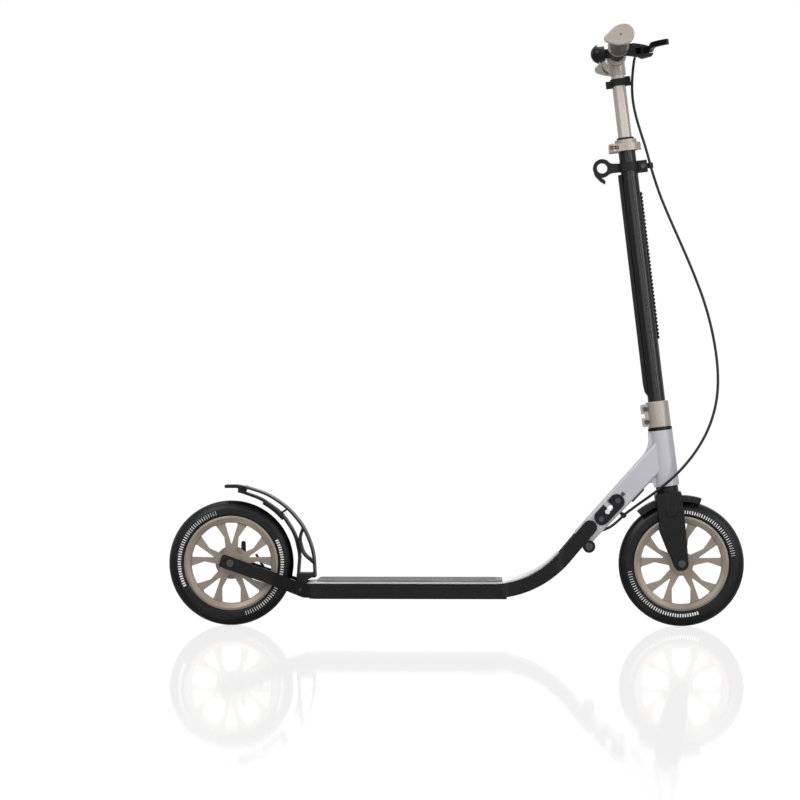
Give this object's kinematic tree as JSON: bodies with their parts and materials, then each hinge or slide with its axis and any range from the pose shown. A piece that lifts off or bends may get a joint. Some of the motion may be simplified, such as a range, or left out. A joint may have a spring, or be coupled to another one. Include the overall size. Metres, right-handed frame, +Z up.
{
  "type": "kick scooter",
  "caption": "Folding kick scooter with two large wheels, rising neck, telescopic handlebar, hand brake, lattice rear mudguard and kickstand.",
  "frame": {"origin": "on the ground, midway between the two wheel axles, which is the bottom centre of the bounding box", "axes": "+X forward, +Y to the rider's left, +Z up"},
  "size_m": [1.06, 0.518, 1.0784],
  "materials": {
    "mill_aluminium": "mill finish",
    "grey_mat": "fine pimpled grip",
    "black_satin": "satin black",
    "silver_alloy": "fine blasted",
    "steel": "zinc plated",
    "cable_black": "smooth sheath",
    "black_rubber": "matt",
    "black_plastic": "fine grain",
    "tyre": "smooth cast",
    "rim_titanium": "warm titanium",
    "neck_silver": "satin silver",
    "bush_bronze": "sintered",
    "titanium_paint": "warm titanium",
    "grip_rubber": "ribbed"
  },
  "bodies": {
    "deck": {"deck_extrusion": "mill_aluminium", "grip_mat": "grey_mat", "side_rail_left": "black_satin", "side_rail_right": "black_satin", "under_cover": "black_satin", "front_plate": "silver_alloy", "fold_pivot_pin": "steel", "fender_hinge_pin": "steel", "rear_axle": "steel", "brake_backing_plate": "steel", "kickstand_bracket": "black_satin", "brake_cable_deck": "cable_black"},
    "brake_arm": {"brake_arm": "steel"},
    "kickstand": {"kickstand_leg": "black_satin", "kickstand_foot": "black_rubber"},
    "rear_fender": {"rear_fender": "black_plastic", "rear_fender_pad": "black_rubber"},
    "rear_wheel": {"rear_tyre": "tyre", "rear_rim": "rim_titanium", "rear_bearings": "steel", "brake_drum": "steel"},
    "neck": {"neck_frame": "neck_silver", "fold_bushes": "bush_bronze", "lock_plates": "black_satin", "lock_plate_bolts": "steel", "headset_bearings": "steel", "neck_cable_clip": "black_plastic", "brake_cable_lower": "cable_black"},
    "lock_pin": {"lock_pin": "silver_alloy"},
    "release_pad": {"release_pad": "black_rubber"},
    "column": {"fork": "black_satin", "front_fender": "black_plastic", "front_axle": "steel", "headset_rings": "black_satin", "fork_clamp": "titanium_paint", "column_bolts": "steel", "steering_tube": "black_satin", "column_rails": "black_plastic", "carry_hook": "black_plastic", "quick_release_collar": "titanium_paint", "quick_release_bolt": "steel", "tube_wiper": "black_plastic", "brake_cable_bow": "cable_black"},
    "quick_release_lever": {"quick_release_lever": "titanium_paint"},
    "front_wheel": {"front_tyre": "tyre", "front_rim": "rim_titanium", "front_bearings": "steel"},
    "handlebar": {"inner_tube": "titanium_paint", "stem_tee": "titanium_paint", "handlebar": "titanium_paint", "stem_band": "black_plastic", "grips": "grip_rubber", "grip_ends": "titanium_paint", "brake_bracket": "black_plastic", "cable_adjuster": "silver_alloy", "bell_base": "black_plastic", "bell_dome": "steel", "brake_cable_upper": "cable_black"},
    "brake_lever": {"brake_lever": "black_satin"},
    "bell_striker": {"bell_striker": "black_plastic"}
  },
  "joints": [
    {"name": "fold", "type": "hinge", "parent": "deck", "child": "neck", "pos_m": [0.245, 0, 0.147], "axis": [0, -1, 0], "range_deg": [0, 83.7], "deforming": ["brake_cable_lower"]},
    {"name": "steer", "type": "hinge", "parent": "neck", "child": "column", "pos_m": [0.3888, 0, 0.2578], "axis": [-0.1184, 0, 0.993], "range_deg": [-60, 60], "deforming": ["brake_cable_bow"]},
    {"name": "front_wheel_spin", "type": "hinge", "parent": "column", "child": "front_wheel", "pos_m": [0.415, 0, 0.115], "axis": [0, 1, 0], "continuous": true},
    {"name": "rear_wheel_spin", "type": "hinge", "parent": "deck", "child": "rear_wheel", "pos_m": [-0.415, 0, 0.115], "axis": [0, 1, 0], "continuous": true},
    {"name": "handlebar_height", "type": "slide", "parent": "column", "child": "handlebar", "axis": [-0.1184, 0, 0.993], "range_m": [-0.09, 0], "deforming": ["brake_cable_upper"]},
    {"name": "quick_release", "type": "hinge", "parent": "column", "child": "quick_release_lever", "pos_m": [0.28962, -0.024, 0.87842], "axis": [0.1184, 0, -0.993], "range_deg": [0, 110]},
    {"name": "brake_lever_pull", "type": "hinge", "parent": "handlebar", "child": "brake_lever", "pos_m": [0.33895, -0.1, 1.04745], "axis": [0.1184, 0, -0.993], "range_deg": [0, 20], "stiffness_Nm_per_rad": 0.6, "springref_deg": -17.19},
    {"name": "brake_arm_turn", "type": "hinge", "parent": "deck", "child": "brake_arm", "pos_m": [-0.3945, 0.02, 0.1262], "axis": [0, 1, 0], "range_deg": [0, 10]},
    {"name": "bell_ring", "type": "hinge", "parent": "handlebar", "child": "bell_striker", "pos_m": [0.26552, -0.043, 1.04675], "axis": [0.993, 0, 0.1184], "range_deg": [0, 25], "stiffness_Nm_per_rad": 0.02, "springref_deg": -17.19},
    {"name": "rear_fender_press", "type": "hinge", "parent": "deck", "child": "rear_fender", "pos_m": [-0.2846, 0, 0.0685], "axis": [0, 1, 0], "range_deg": [-3, 0], "stiffness_Nm_per_rad": 60, "springref_deg": 2.86},
    {"name": "kickstand_turn", "type": "hinge", "parent": "deck", "child": "kickstand", "pos_m": [-0.04, 0.07, 0.067], "axis": [0, -1, 0], "range_deg": [0, 80]},
    {"name": "release_press", "type": "slide", "parent": "neck", "child": "release_pad", "axis": [-0.729, 0, 0.6845], "range_m": [0, 0.004], "stiffness_N_per_m": 400, "springref_m": -0.002},
    {"name": "lock_slide", "type": "slide", "parent": "neck", "child": "lock_pin", "axis": [0.6845, 0, 0.729], "range_m": [0, 0.009]}
  ],
  "couplings": [
    {"joint": "lock_slide", "follows": "release_press", "ratio": 2.25},
    {"joint": "brake_arm_turn", "follows": "brake_lever_pull", "ratio": 0.5}
  ]
}
